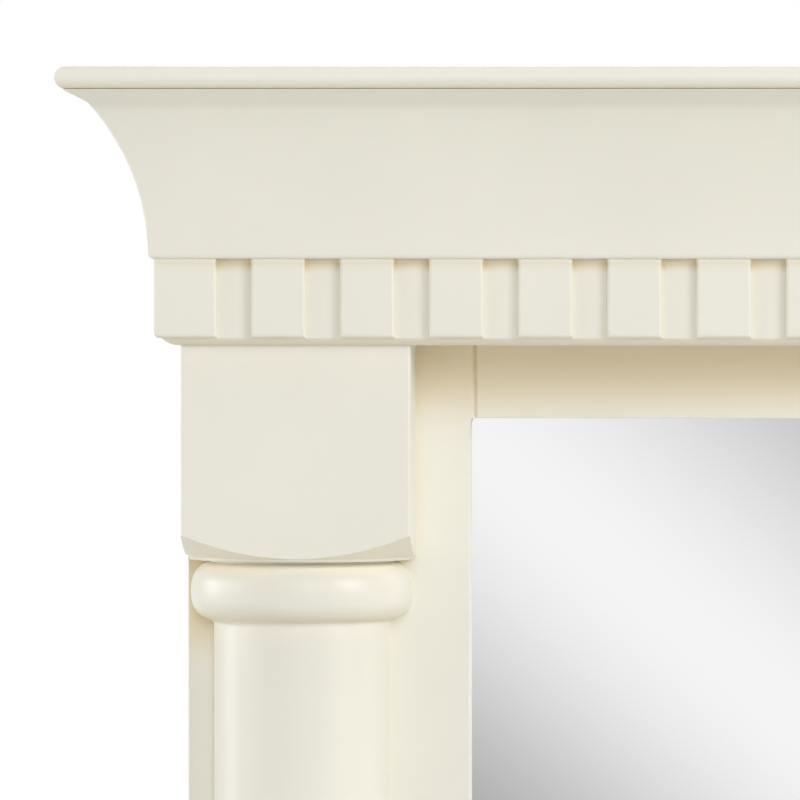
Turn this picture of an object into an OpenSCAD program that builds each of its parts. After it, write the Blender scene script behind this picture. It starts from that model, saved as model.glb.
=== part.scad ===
// Framed bathroom mirror with a dentil cornice and split turned columns.
// X runs to the right, Z up, and the front faces -Y. The wall is the plane Y = 0.
// The origin lies on the wall, midway between the pivots of the two hanger rings.
// Heights in the cornice are counted down from its top, and overhangs outward from the dentil faces.

/* [Overall] */
// Width over the outer edges of the two stiles
frame_w = 674; // [560:1:900]
// Height from the underside of the base board to the top of the cornice
overall_h = 914; // [760:1:1200]
// Distance of the hanger pivots below the top of the cornice
hang_drop = 180; // [150:1:240]
// Space between the frame and the wall, which the bumpers fill
wall_gap = 5; // [5:0.1:8]

/* [Frame] */
// Thickness of the stiles and rails
frame_t = 20; // [18:0.5:26]
// Width of each stile
stile_w = 103.4; // [94:0.1:130]
// Height of the top rail that shows under the cornice
top_rail_show = 26.9; // [18:0.1:60]
// Height of the bottom rail
bottom_rail_h = 100.8; // [70:0.1:140]
// How far the sight opening is trimmed into the stiles past the rail seams
sight_trim = 1.65; // [1.2:0.1:3]
// Half width of the V groove along each seam
seam_chamfer = 1; // [0.5:0.1:1.1]
// Thickness of the lip in front of the glass
lip_t = 8; // [6:0.1:9]
// Width of the rebate that takes the glass
glass_rebate_w = 8; // [6:0.1:9]
// Width of the rebate that takes the back panel
panel_rebate_w = 16; // [15:0.1:20]
// Depth of the back panel's face below the back of the frame
panel_recess = 1; // [0.5:0.1:2]

/* [Joint dowels] */
// Radius of the dowels in the frame
dowel_r = 4; // [3:0.1:5]
// Length of the dowels in the frame
dowel_len = 40; // [30:1:50]
// Distance of the dowels from the edges of the wood that they join
dowel_edge = 14; // [10:0.5:18]
// Radius of the pins that line up each post's pieces
pin_r = 5; // [3:0.1:7]
// Length of the pins in the posts
pin_len = 30; // [20:1:40]
// Free length at each end of a dowel or pin
dowel_end_gap = 0.5; // [0.2:0.1:1]

/* [Glass and back] */
// Thickness of the mirror glass
glass_t = 4; // [3:0.1:5]
// Gap round the edge of the glass
glass_clear = 0.9; // [0.5:0.1:1.5]
// Thickness of the back panel
panel_t = 3; // [2.5:0.1:5]
// Gap round the edge of the back panel
panel_clear = 0.5; // [0.3:0.1:1]
// Width of the cushion strips between glass and back panel
cushion_w = 10; // [6:0.5:14]
// Distance of the cushion strips from the edge of the glass
cushion_inset = 4; // [2:0.5:10]
// Gap between the ends of the cushion strips
cushion_gap = 1; // [0.5:0.5:10]

/* [Cornice] */
// Distance of the dentil faces in front of the block faces and stile edges
dentil_t = 8.8; // [8:0.1:12]
// Depth of the gaps between dentils
dentil_gap_d = 2.6; // [2.3:0.1:5]
// Width of the gaps between dentils
dentil_gap_w = 12.1; // [8:0.1:16]
// Spacing of the dentils
dentil_pitch = 31.75; // [26:0.05:40]
// Least width of the dentil at a corner
dentil_corner_min = 14; // [12:0.1:20]
// Radius on the lower edges of the dentils
dentil_edge_r = 1.8; // [0.5:0.1:2.2]
// Radius on the upright edges of the dentils
dentil_side_r = 1.4; // [0.6:0.1:1.8]
// Height of the dentils
dentil_h = 28.3; // [22:0.1:40]
// Height of the quarter round that shows under the dentils
bed_h = 2.6; // [1.5:0.1:5]
// Radius of the quarter round under the dentils
bed_r = 7.3; // [5.5:0.1:10]
// Thickness of the cap board
cap_t = 8.1; // [6:0.1:12]
// Overhang of the cap board's nose past the dentil faces
cap_over = 33; // [32:0.1:40]
// Height of the crown moulding
crown_h = 60.3; // [58:0.1:64]
// Overhang of the crown's upper edge past the dentil faces
crown_over = 30.6; // [26:0.1:31]
// Overhang of the crown's foot past the dentil faces
crown_foot = 2; // [1:0.1:4]
// Radius of the crown's cove
cove_r = 84; // [80:0.5:90]
// Height of the cove's centre above the crown's foot
cove_rise = 1.3; // [0.5:0.1:3]
// Overhang at which the cove meets the crown's upper slope
cove_top_over = 21.9; // [18:0.1:24]
// Radius on the lower edge of the crown
crown_edge_r = 1.9; // [0.5:0.1:3]
// Height of the crown's back that lies on the frieze
crown_seat = 24; // [18:1:34]
// Overhang at which the crown's hollow back meets the cap board
crown_hollow_over = 12; // [6:0.5:16]
// Thickness of the frieze boards
frieze_t = 12; // [10:0.5:14]
// Thickness of the soffit board
soffit_t = 12; // [10:0.5:18]
// Side of the glue blocks' triangle
glue_block = 16; // [12:1:17]
// Length of the glue blocks
glue_block_len = 45; // [30:1:60]

/* [Posts] */
// Width of the square blocks
block_w = 82.2; // [76:0.1:90]
// Height of the upper block, from its top to its turned shoulder's foot
capital_h = 77.6; // [65:0.1:110]
// Height of the lower block, from the base board to its turned shoulder's foot
base_block_h = 92; // [75:0.5:140]
// Height of the turned shoulder between the block's corners and its foot
shoulder_h = 8.7; // [6:0.1:12]
// Radius of the shoulder's swell
shoulder_r = 150; // [60:1:300]
// Height of the rim under the shoulder
rim_h = 1; // [0.8:0.1:3]
// Inset of the rim from the block's sides
rim_inset = 0.6; // [0.3:0.1:1.5]
// Radius on the upright edges of the blocks
block_edge_r = 1; // [0.5:0.1:3]
// Height of the neck groove between block and ring
neck_h = 0.95; // [0.8:0.05:3]
// Inset of the neck groove from the block's sides
neck_inset = 8.1; // [7:0.1:12]
// Height of the turned rings
ring_h = 20.8; // [18:0.1:24]
// Inset of the turned rings from the block's sides
ring_inset = 1; // [0.2:0.1:2.5]
// Radius of the rings' swell
ring_swell_r = 20; // [14:0.5:30]
// Radius on the rings' upper and lower edges
ring_round_r = 8; // [6:0.1:8.5]
// Radius of the shaft
shaft_r = 31.7; // [26:0.1:32]
// Radius of the small cove between ring and shaft
flare_r = 2.2; // [1:0.1:4]

/* [Base] */
// Thickness of the base board
base_t = 16; // [12:0.5:24]
// Overhang of the base board past the blocks and stile edges
base_over = 12; // [8:0.5:30]
// Radius on the base board's upper edge
base_top_r = 7; // [4:0.5:8]
// Radius on the base board's lower edge
base_bottom_r = 3; // [2:0.5:4]

/* [Screws] */
// Shank radius of the wood screws
screw_r = 2; // [1.75:0.05:2.5]
// Head radius of the wood screws
screw_head_r = 4; // [3.5:0.1:4.5]
// Length of the screws that hold the posts
post_screw_len = 40; // [32:1:42]
// Length of the screws that hold the cornice
cornice_screw_len = 45; // [35:1:46]
// Length of the screws that hold the base board
base_screw_len = 42; // [30:1:50]
// Shank radius of the panel screws
panel_screw_r = 1.5; // [1.25:0.05:1.75]
// Head radius of the panel screws
panel_screw_head_r = 2.9; // [2.5:0.1:3.2]
// Length of the panel screws
panel_screw_len = 12; // [9:0.5:13]
// Distance of the panel screws from the edge of the back panel
panel_screw_edge = 4; // [3.6:0.1:4.5]
// Gap round a screw's shank and head
screw_clear = 0.1; // [0.05:0.01:0.2]
// Width of the cross recess in the screw heads
recess_w = 0.9; // [0.6:0.1:1.2]
// Reach of the cross recess as a share of the head's radius
recess_reach = 0.6; // [0.4:0.05:0.7]
// Depth of the cross recess as a share of the head's height
recess_depth = 0.7; // [0.4:0.05:0.8]

/* [Hangers] */
// Radius of the wire of the hanger rings
wire_r = 1.2; // [1:0.05:1.2]
// Running gap between a ring and its strap's loop
wire_clear = 0.08; // [0.04:0.01:0.1]
// Radius of the rings' bends at the strap, on the wire's centre line
bend_r = 3; // [2.5:0.1:4]
// Length of the rings' straight legs
leg_len = 9; // [8:0.5:12]
// Thickness of the hanger straps
strap_t = 1.2; // [0.9:0.1:1.2]
// Width of the hanger straps
strap_w = 11; // [9.5:0.1:12]
// End gap between a strap's loop and the rings' bends
strap_side_gap = 0.5; // [0.3:0.1:1]
// Distance of a hanger's screw below its pivot
strap_screw_drop = 7.5; // [7.2:0.1:8.5]
// Head radius of the hanger screws
pan_head_r = 3.7; // [3.4:0.1:4]
// Head height of the hanger screws
pan_head_h = 2.2; // [1.8:0.1:2.4]
// Length of the hanger screws under the head
hanger_screw_len = 16; // [12:0.5:18]
// Radius of the wall bumpers
bumper_r = 6; // [5:0.5:9]
// Bevel round the wall bumpers' faces
bumper_bevel = 1; // [0.5:0.1:1.5]
// Distance of the bumpers from the stiles' outer edges and ends
bumper_inset = 18; // [12:0.5:30]

/* [Hidden] */

// A cut runs this far past the face that it opens
cut_over = 1;
// Arcs that follow each other in a turned outline cross by this much
cross_over = 0.02;
// Facets of round shapes, and of wide arcs
$fn = 96;
wide_arc_fn = 360;
wire_fn = 48;

paint = [0.902, 0.894, 0.843];
bare_wood = [0.80, 0.66, 0.45];
board = [0.52, 0.38, 0.25];
silver = [0.82, 0.85, 0.87];
zinc = [0.70, 0.71, 0.73];
rubber = [0.20, 0.20, 0.20];

// Planes across the depth
back_y = -wall_gap;
face_y = back_y - frame_t;
block_d = block_w / 2;
neck_r = block_d - neck_inset;
ring_r = block_d - ring_inset;
block_face_y = face_y - block_d;
dentil_face_y = block_face_y - dentil_t;
glass_front_y = face_y + lip_t;
glass_back_y = glass_front_y + glass_t;
panel_back_y = back_y - panel_recess;
panel_front_y = panel_back_y - panel_t;

frieze_back_y = block_face_y + frieze_t;

// Heights
top_z = hang_drop;
bottom_z = top_z - overall_h;
crown_top_z = top_z - cap_t;
crown_foot_z = crown_top_z - crown_h;
dentil_foot_z = crown_foot_z - dentil_h;
cornice_foot_z = dentil_foot_z - bed_h;
sight_top_z = cornice_foot_z - top_rail_show;
base_top_z = bottom_z + base_t;
sight_bottom_z = base_top_z + bottom_rail_h;
column_top_z = cornice_foot_z - capital_h;
column_bottom_z = base_top_z + base_block_h;

// Places across the width
frame_half = frame_w / 2;
seam_x = frame_half - stile_w;
sight_half = seam_x + sight_trim;
dentil_half = frame_half + dentil_t;
post_x = frame_half - block_d;
hanger_x = frame_half - stile_w / 2;
frieze_inner_x = frame_half - frieze_t;

// Dentils along the front: whole gaps at the given pitch, with an equal dentil left at each corner
gap_count = floor((2 * dentil_half - 2 * dentil_corner_min - dentil_gap_w) / dentil_pitch) + 1;
corner_dentil_w = (2 * dentil_half - dentil_gap_w - (gap_count - 1) * dentil_pitch) / 2;
front_gaps = [for (i = [0 : gap_count - 1]) -dentil_half + corner_dentil_w + i * dentil_pitch];
return_len = back_y - dentil_face_y;
return_gap_count = floor((return_len - corner_dentil_w - dentil_gap_w) / dentil_pitch) + 1;

// The last gap of a return runs out at the wall where only a stub would be left
return_stub = return_len - corner_dentil_w - (return_gap_count - 1) * dentil_pitch - dentil_gap_w;
last_gap_w = dentil_gap_w + (return_stub < dentil_corner_min / 2 ? return_stub + cut_over : 0);

// The mitre cuts reach this far to both sides of the dentil faces' corner
mitre_reach = 2 * cap_over + return_len;

// Dowel, pin and screw places
dowel_zs = [
    crown_top_z - dowel_edge, sight_top_z + panel_rebate_w + dowel_edge,
    sight_bottom_z - panel_rebate_w - dowel_edge, base_top_z + dowel_edge
];
capital_z = cornice_foot_z - capital_h / 2;
base_block_z = base_top_z + base_block_h / 2;
column_len = column_top_z - column_bottom_z;
post_screw_zs = [capital_z, column_top_z - column_len / 4, column_bottom_z + column_len / 4, base_block_z];
soffit_screw_z = cornice_foot_z + soffit_t / 2;
frieze_screw_x = frame_half - frieze_t / 2;
frieze_screw_zs = [crown_top_z - crown_h / 3, dentil_foot_z + dentil_h / 3];
base_screw_y = (back_y + face_y) / 2;
block_screw_y = face_y - block_d / 2;
pin_y = face_y - shaft_r / 2;
panel_screw_inset = panel_rebate_w - panel_clear - panel_screw_edge;
panel_screw_x = sight_half + panel_screw_inset;
panel_top_screw_z = sight_top_z + panel_screw_inset;
panel_bottom_screw_z = sight_bottom_z - panel_screw_inset;
panel_mid_z = (sight_top_z + sight_bottom_z) / 2;
panel_screw_places = concat(
    [for (x = [-1, 0, 1], z = [panel_top_screw_z, panel_bottom_screw_z]) [x * sight_half * 2 / 3, z]],
    [for (sx = [-1, 1], k = [-1, 0, 1])
        [sx * panel_screw_x, panel_mid_z + k * (sight_top_z - sight_bottom_z) / 3]]
);

// Glass size
glass_half_w = sight_half + glass_rebate_w - glass_clear;
glass_low_z = sight_bottom_z - glass_rebate_w + glass_clear;
glass_high_z = sight_top_z + glass_rebate_w - glass_clear;

// Hanger sizes
loop_r = wire_r + wire_clear + strap_t;
pivot_y = back_y + loop_r;
bar_len = strap_w + 2 * strap_side_gap;
arc_r = bar_len / 2 + bend_r;

// Basic shapes

// A box between two opposite corners
module box(low, high) {
    translate(low) cube(high - low);
}

// Extrudes an outline of [overhang, height] along X, with the overhang towards the front
module along_front(len) {
    rotate([0, 0, -90]) rotate([90, 0, 0]) linear_extrude(len, center = true) children();
}

// Extrudes an outline of [x, height] forwards from y = 0
module along_return(len) {
    rotate([90, 0, 0]) linear_extrude(len) children();
}

// What a round edge takes off a square corner at the origin that points to +X -Y
module corner_waste(r) {
    difference() {
        translate([-r, -cut_over]) square(r + cut_over);
        translate([-r, r]) circle(r = r);
    }
}

// Mitres of the cornice: one cut for the front run and one for the right return

module mitre_plan(points) {
    translate([0, 0, cornice_foot_z - cut_over])
        linear_extrude(top_z - cornice_foot_z + 2 * cut_over) polygon(points);
}

module front_mitre() {
    near = dentil_half - mitre_reach;
    far = dentil_half + mitre_reach;
    front_y = dentil_face_y - mitre_reach;
    rear_y = dentil_face_y + mitre_reach;
    mitre_plan([[-far, front_y], [far, front_y], [near, rear_y], [-near, rear_y]]);
}

module right_mitre() {
    far = dentil_half + mitre_reach;
    front_y = dentil_face_y - mitre_reach;
    mitre_plan([[far, front_y], [far, back_y], [dentil_half - return_len, back_y]]);
}

// A moulding's front run between both mitres
module front_run() {
    intersection() {
        translate([0, dentil_face_y, 0]) along_front(2 * (dentil_half + mitre_reach)) children();
        front_mitre();
    }
}

// A moulding's right return, from the wall side to its mitre
module right_run() {
    intersection() {
        translate([dentil_half, back_y, 0]) along_return(return_len + mitre_reach) children();
        right_mitre();
    }
}

// Screws and their holes, drawn with the head's face at the origin and the shank towards -Z

module cross_recess(head_r, head_h) {
    reach = head_r * recess_reach;
    depth = head_h * recess_depth;
    for (a = [0, 90]) {
        rotate([0, 0, a])
            translate([-reach, -recess_w / 2, -depth]) cube([2 * reach, recess_w, depth + cut_over]);
    }
}

module screw_shank(r, len) {
    translate([0, 0, r - len]) cylinder(r = r, h = len - r);
    translate([0, 0, -len]) cylinder(r1 = 0, r2 = r, h = r);
}

module flat_screw(r, head_r, len) {
    cone_h = head_r - r;
    difference() {
        union() {
            screw_shank(r, len);
            translate([0, 0, -cone_h]) cylinder(r1 = r, r2 = head_r, h = cone_h);
        }
        cross_recess(head_r, cone_h);
    }
}

module flat_screw_hole(r, head_r, len) {
    cone_h = head_r - r;
    hole_r = r + screw_clear;
    hole_head_r = head_r + screw_clear;
    translate([0, 0, -len - screw_clear]) cylinder(r = hole_r, h = len);
    translate([0, 0, -cone_h]) cylinder(r1 = hole_r, r2 = hole_head_r, h = cone_h);
    cylinder(r = hole_head_r, h = cut_over);
}

// Places of the fasteners

module each_dowel() {
    for (sx = [-1, 1], z = dowel_zs) {
        translate([sx * seam_x, base_screw_y, z]) rotate([0, 90, 0]) children();
    }
}

module each_pin() {
    for (sx = [-1, 1], z = [column_top_z, column_bottom_z]) {
        translate([sx * post_x, pin_y, z]) children();
    }
}

module each_post_screw() {
    for (sx = [-1, 1], z = post_screw_zs) {
        translate([sx * post_x, back_y, z]) rotate([-90, 0, 0]) children();
    }
}

module each_cornice_screw() {
    for (x = [-1, 0, 1] * seam_x * 2 / 3) {
        translate([x, back_y, soffit_screw_z]) rotate([-90, 0, 0]) children();
    }
    for (sx = [-1, 1], z = frieze_screw_zs) {
        translate([sx * frieze_screw_x, back_y, z]) rotate([-90, 0, 0]) children();
    }
}

module each_base_screw() {
    for (sx = [-1, 1]) {
        for (y = [base_screw_y, block_screw_y]) {
            translate([sx * post_x, y, bottom_z]) rotate([180, 0, 0]) children();
        }
        translate([sx * seam_x / 2, base_screw_y, bottom_z]) rotate([180, 0, 0]) children();
    }
}

module each_panel_screw() {
    for (p = panel_screw_places) {
        translate([p[0], panel_back_y, p[1]]) rotate([-90, 0, 0]) children();
    }
}

module each_hanger() {
    for (sx = [-1, 1]) {
        translate([sx * hanger_x, 0, 0]) children();
    }
}

// Holes for the fasteners

module dowel_holes() {
    each_dowel() cylinder(r = dowel_r, h = dowel_len + 2 * dowel_end_gap, center = true);
}

module pin_holes() {
    each_pin() cylinder(r = pin_r, h = pin_len + 2 * dowel_end_gap, center = true);
}

module post_screw_holes() {
    each_post_screw() flat_screw_hole(screw_r, screw_head_r, post_screw_len);
}

module cornice_screw_holes() {
    each_cornice_screw() flat_screw_hole(screw_r, screw_head_r, cornice_screw_len);
}

module base_screw_holes() {
    each_base_screw() flat_screw_hole(screw_r, screw_head_r, base_screw_len);
}

module panel_screw_holes() {
    each_panel_screw() flat_screw_hole(panel_screw_r, panel_screw_head_r, panel_screw_len);
}

module hanger_screw_holes() {
    depth = hanger_screw_len - strap_t + screw_clear;
    each_hanger()
        translate([0, back_y - depth, -strap_screw_drop])
            rotate([-90, 0, 0]) cylinder(r = screw_r + screw_clear, h = depth + wall_gap);
}

// Frame

// What the sight opening, the glass and the back panel take out of the frame
module opening_cuts() {
    for (cut = [[0, face_y - cut_over], [glass_rebate_w, glass_front_y], [panel_rebate_w, panel_front_y]]) {
        x = sight_half + cut[0];
        box([-x, cut[1], sight_bottom_z - cut[0]], [x, back_y + cut_over, sight_top_z + cut[0]]);
    }
}

module seam_grooves() {
    side = seam_chamfer * sqrt(2);
    for (sx = [-1, 1]) {
        translate([sx * seam_x, face_y - seam_chamfer, bottom_z])
            rotate([0, 0, 45]) cube([side, side, overall_h]);
    }
}

module frame_cuts() {
    opening_cuts();
    seam_grooves();
    dowel_holes();
    post_screw_holes();
    cornice_screw_holes();
    base_screw_holes();
    panel_screw_holes();
    hanger_screw_holes();
}

module stile() {
    difference() {
        box([seam_x, face_y, base_top_z], [frame_half, back_y, crown_top_z]);
        frame_cuts();
    }
}

module rail(low_z, high_z) {
    difference() {
        box([-seam_x, face_y, low_z], [seam_x, back_y, high_z]);
        frame_cuts();
    }
}

module left_stile() {
    color(paint) mirror([1, 0, 0]) stile();
}

module right_stile() {
    color(paint) stile();
}

module top_rail() {
    color(paint) rail(sight_top_z, crown_top_z);
}

module bottom_rail() {
    color(paint) rail(base_top_z, sight_bottom_z);
}

module frame_dowels() {
    color(bare_wood) each_dowel() cylinder(r = dowel_r, h = dowel_len, center = true);
}

// Glass and back

module mirror_glass() {
    color(silver)
        box([-glass_half_w, glass_front_y, glass_low_z], [glass_half_w, glass_back_y, glass_high_z]);
}

module glass_cushions() {
    x = glass_half_w - cushion_inset;
    low = glass_low_z + cushion_inset;
    high = glass_high_z - cushion_inset;
    side_low = low + cushion_w + cushion_gap;
    side_high = high - cushion_w - cushion_gap;
    color(rubber) {
        for (z = [low, high - cushion_w]) {
            box([-x, glass_back_y, z], [x, panel_front_y, z + cushion_w]);
        }
        for (side_x = [-x, x - cushion_w]) {
            box([side_x, glass_back_y, side_low], [side_x + cushion_w, panel_front_y, side_high]);
        }
    }
}

module back_panel() {
    edge = panel_rebate_w - panel_clear;
    x = sight_half + edge;
    color(board)
        difference() {
            box([-x, panel_front_y, sight_bottom_z - edge], [x, panel_back_y, sight_top_z + edge]);
            panel_screw_holes();
        }
}

module panel_screws() {
    color(zinc) each_panel_screw() flat_screw(panel_screw_r, panel_screw_head_r, panel_screw_len);
}

// Cornice

module frieze_board() {
    color(paint)
        box([-frame_half, block_face_y, cornice_foot_z], [frame_half, frieze_back_y, crown_top_z]);
}

module frieze_return() {
    difference() {
        box([frieze_inner_x, frieze_back_y, cornice_foot_z], [frame_half, face_y, crown_top_z]);
        cornice_screw_holes();
    }
}

module left_frieze_return() {
    color(paint) mirror([1, 0, 0]) frieze_return();
}

module right_frieze_return() {
    color(paint) frieze_return();
}

module soffit_board() {
    color(paint)
        difference() {
            box([-frieze_inner_x, frieze_back_y, cornice_foot_z],
                [frieze_inner_x, face_y, cornice_foot_z + soffit_t]);
            cornice_screw_holes();
        }
}

// Triangular blocks behind the frieze board, glued to the soffit board and under the cap board
module glue_blocks() {
    color(bare_wood)
        for (x = [-1, 0, 1] * frame_half / 2, end = [[cornice_foot_z + soffit_t, 1], [crown_top_z, -1]]) {
            translate([x, frieze_back_y, end[0]])
                rotate([90, 0, 90])
                    linear_extrude(glue_block_len, center = true)
                        polygon([[0, 0], [glue_block, 0], [0, end[1] * glue_block]]);
        }
}

// Section of the dentil moulding before its gaps are cut: a flat band over a quarter round that
// starts in line with the floors of the gaps
module dentil_outline() {
    drop = bed_r - bed_h;
    bed_x = -dentil_gap_d - sqrt(bed_r * bed_r - drop * drop);
    difference() {
        translate([-dentil_t, dentil_foot_z]) square([dentil_t, dentil_h]);
        translate([0, dentil_foot_z]) corner_waste(dentil_edge_r);
    }
    intersection() {
        translate([-dentil_t, cornice_foot_z]) square([dentil_t, bed_h]);
        union() {
            translate([bed_x, cornice_foot_z + bed_r]) circle(r = bed_r);
            translate([bed_x - dentil_t, cornice_foot_z]) square([dentil_t, bed_h]);
        }
    }
}

// Cuts one gap between dentils: it starts at x = 0, and its mouth is at y = 0 and faces -Y
module gap_cut(w) {
    r = dentil_side_r;
    translate([0, 0, dentil_foot_z - cut_over])
        linear_extrude(dentil_h + 2 * cut_over) {
            translate([0, -cut_over]) square([w, dentil_gap_d + cut_over]);
            difference() {
                translate([-r, -cut_over]) square([w + 2 * r, r + cut_over]);
                for (x = [-r, w + r]) {
                    translate([x, r]) circle(r = r);
                }
            }
        }
}

module dentil_front() {
    color(paint)
        difference() {
            front_run() dentil_outline();
            for (x = front_gaps) {
                translate([x, dentil_face_y, 0]) gap_cut(dentil_gap_w);
            }
        }
}

module dentil_return() {
    difference() {
        right_run() dentil_outline();
        for (i = [0 : return_gap_count - 1]) {
            translate([dentil_half, dentil_face_y + corner_dentil_w + i * dentil_pitch, 0])
                rotate([0, 0, 90]) gap_cut(i == return_gap_count - 1 ? last_gap_w : dentil_gap_w);
        }
    }
}

module dentil_left() {
    color(paint) mirror([1, 0, 0]) dentil_return();
}

module dentil_right() {
    color(paint) dentil_return();
}

// Section of the crown: a slope under the cap, a large cove, a round lower edge and a hollow back
module crown_outline() {
    cove = [crown_foot + cove_r, crown_foot_z + cove_rise];
    cove_dx = cove[0] - cove_top_over;
    cove_end = [cove_top_over, cove[1] + sqrt(cove_r * cove_r - cove_dx * cove_dx)];
    slope = [crown_over, crown_top_z] - cove_end;
    edge_dz = cove_rise - crown_edge_r;
    edge_reach = cove_r + crown_edge_r;
    edge = [cove[0] - sqrt(edge_reach * edge_reach - edge_dz * edge_dz), crown_foot_z + crown_edge_r];
    touch_z = edge[1] + crown_edge_r * edge_dz / edge_reach;
    cut_z = crown_foot_z - cut_over;
    difference() {
        polygon([
            [-dentil_t, crown_foot_z], [crown_over + cut_over, crown_foot_z],
            [crown_over + cut_over, crown_top_z], [crown_hollow_over, crown_top_z],
            [-dentil_t, crown_foot_z + crown_seat]
        ]);
        intersection() {
            translate(cove) circle(r = cove_r, $fn = wide_arc_fn);
            polygon([
                cove_end - 3 * slope, cove_end + 2 * slope, [2 * crown_over, cut_z], [-crown_over, cut_z]
            ]);
        }
        difference() {
            translate([edge[0], cut_z]) square([2 * crown_edge_r, touch_z - cut_z]);
            translate(edge) circle(r = crown_edge_r);
        }
    }
}

module crown_front() {
    color(paint) front_run() crown_outline();
}

module crown_left() {
    color(paint) mirror([1, 0, 0]) right_run() crown_outline();
}

module crown_right() {
    color(paint) right_run() crown_outline();
}

// The cap board has a full round nose on its front and both ends
module cap_board() {
    nose_r = cap_t / 2;
    nose_z = crown_top_z + nose_r;
    half = dentil_half + cap_over;
    front_y = dentil_face_y - cap_over;
    color(paint)
        intersection() {
            along_front(2 * half + cut_over) {
                translate([-front_y - nose_r, nose_z]) circle(r = nose_r);
                translate([wall_gap, crown_top_z]) square([-front_y - nose_r - wall_gap, cap_t]);
            }
            along_return(-front_y + cut_over) {
                for (sx = [-1, 1]) {
                    translate([sx * (half - nose_r), nose_z]) circle(r = nose_r);
                }
                translate([nose_r - half, crown_top_z]) square([2 * (half - nose_r), cap_t]);
            }
        }
}

// Posts, each split down the middle, with its flat back on the stile

// Outline of a block turned at one end, as [radius, height]: a rim, a swelling shoulder and the square
module shoulder_outline(height) {
    corner_r = block_d * sqrt(2);
    rim_r = block_d - rim_inset;
    top = rim_h + shoulder_h;
    chord = [corner_r - rim_r, shoulder_h];
    reach = sqrt(shoulder_r * shoulder_r - chord * chord / 4);
    centre = [rim_r, rim_h] + chord / 2 + reach / norm(chord) * [-chord[1], chord[0]];
    square([rim_r, top]);
    intersection() {
        translate(centre) circle(r = shoulder_r, $fn = wide_arc_fn);
        translate([0, rim_h]) square([corner_r, shoulder_h]);
    }
    translate([0, top]) square([corner_r + cut_over, height - top]);
}

// Plan of a block, with its flat back at y = 0 and its front edges eased
module block_plan() {
    difference() {
        translate([-block_d, -block_d]) square([block_w, block_d]);
        for (m = [0, 1]) {
            mirror([m, 0]) translate([block_d, -block_d]) corner_waste(block_edge_r);
        }
    }
}

// A block with the foot of its turned end at z = 0
module half_block(height) {
    intersection() {
        linear_extrude(height) block_plan();
        rotate_extrude() shoulder_outline(height + cut_over);
    }
}

module capital() {
    difference() {
        translate([post_x, face_y, column_top_z]) half_block(capital_h);
        pin_holes();
        post_screw_holes();
    }
}

module base_block() {
    difference() {
        translate([post_x, face_y, column_bottom_z]) mirror([0, 0, 1]) half_block(base_block_h);
        pin_holes();
        post_screw_holes();
        base_screw_holes();
    }
}

// Outline of a column's end, as [radius, height]: the neck at height 0, the ring and a small cove.
// The ring's swell runs into two smaller round edges.
module ring_outline() {
    middle_z = neck_h + ring_h / 2;
    swell_x = ring_r - ring_swell_r;
    round_dz = ring_h / 2 - ring_round_r;
    round_reach = ring_swell_r - ring_round_r + cross_over;
    round_x = swell_x + sqrt(round_reach * round_reach - round_dz * round_dz);
    wedge_dz = ring_r * round_dz / (round_x - swell_x);
    cove_x = shaft_r + flare_r;
    cove_reach = ring_round_r + flare_r - cross_over;
    cove_dx = max(0, cove_x - round_x);
    cove_z = middle_z + round_dz + sqrt(cove_reach * cove_reach - cove_dx * cove_dx);
    square([neck_r, middle_z]);
    translate([0, neck_h]) square([round_x, ring_h]);
    for (side = [-1, 1]) {
        translate([round_x, middle_z + side * round_dz]) circle(r = ring_round_r);
    }
    intersection() {
        translate([swell_x, middle_z]) circle(r = ring_swell_r);
        translate([swell_x, middle_z])
            polygon([[0, 0], [ring_r, -wedge_dz], [ring_r, wedge_dz]]);
    }
    difference() {
        translate([0, middle_z]) square([cove_x, cove_z - middle_z]);
        translate([cove_x, cove_z]) circle(r = flare_r);
    }
}

module column() {
    difference() {
        translate([post_x, face_y, column_bottom_z])
            rotate([0, 0, 180])
                rotate_extrude(angle = 180) {
                    ring_outline();
                    translate([0, neck_h]) square([shaft_r, column_len - 2 * neck_h]);
                    translate([0, column_len]) mirror([0, 1]) ring_outline();
                }
        pin_holes();
        post_screw_holes();
    }
}

module left_capital() {
    color(paint) mirror([1, 0, 0]) capital();
}

module right_capital() {
    color(paint) capital();
}

module left_column() {
    color(paint) mirror([1, 0, 0]) column();
}

module right_column() {
    color(paint) column();
}

module left_base_block() {
    color(paint) mirror([1, 0, 0]) base_block();
}

module right_base_block() {
    color(paint) base_block();
}

module post_pins() {
    color(bare_wood) each_pin() cylinder(r = pin_r, h = pin_len, center = true);
}

// Base

// Section of the base board from its middle to its nose at x = len, with both nose edges rounded
module base_outline(len) {
    difference() {
        square([len, base_t]);
        translate([len, 0]) corner_waste(base_bottom_r);
        translate([len, base_t]) mirror([0, 1]) corner_waste(base_top_r);
    }
}

module base_board() {
    half = frame_half + base_over;
    front_y = block_face_y - base_over;
    color(paint)
        difference() {
            intersection() {
                translate([0, back_y, bottom_z])
                    along_front(2 * half + cut_over) base_outline(back_y - front_y);
                translate([0, 0, bottom_z])
                    along_return(-front_y + cut_over) {
                        base_outline(half);
                        mirror([1, 0]) base_outline(half);
                    }
            }
            base_screw_holes();
        }
}

// Screws

module post_screws() {
    color(zinc) each_post_screw() flat_screw(screw_r, screw_head_r, post_screw_len);
}

module cornice_screws() {
    color(zinc) each_cornice_screw() flat_screw(screw_r, screw_head_r, cornice_screw_len);
}

module base_screws() {
    color(zinc) each_base_screw() flat_screw(screw_r, screw_head_r, base_screw_len);
}

// Hangers

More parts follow.
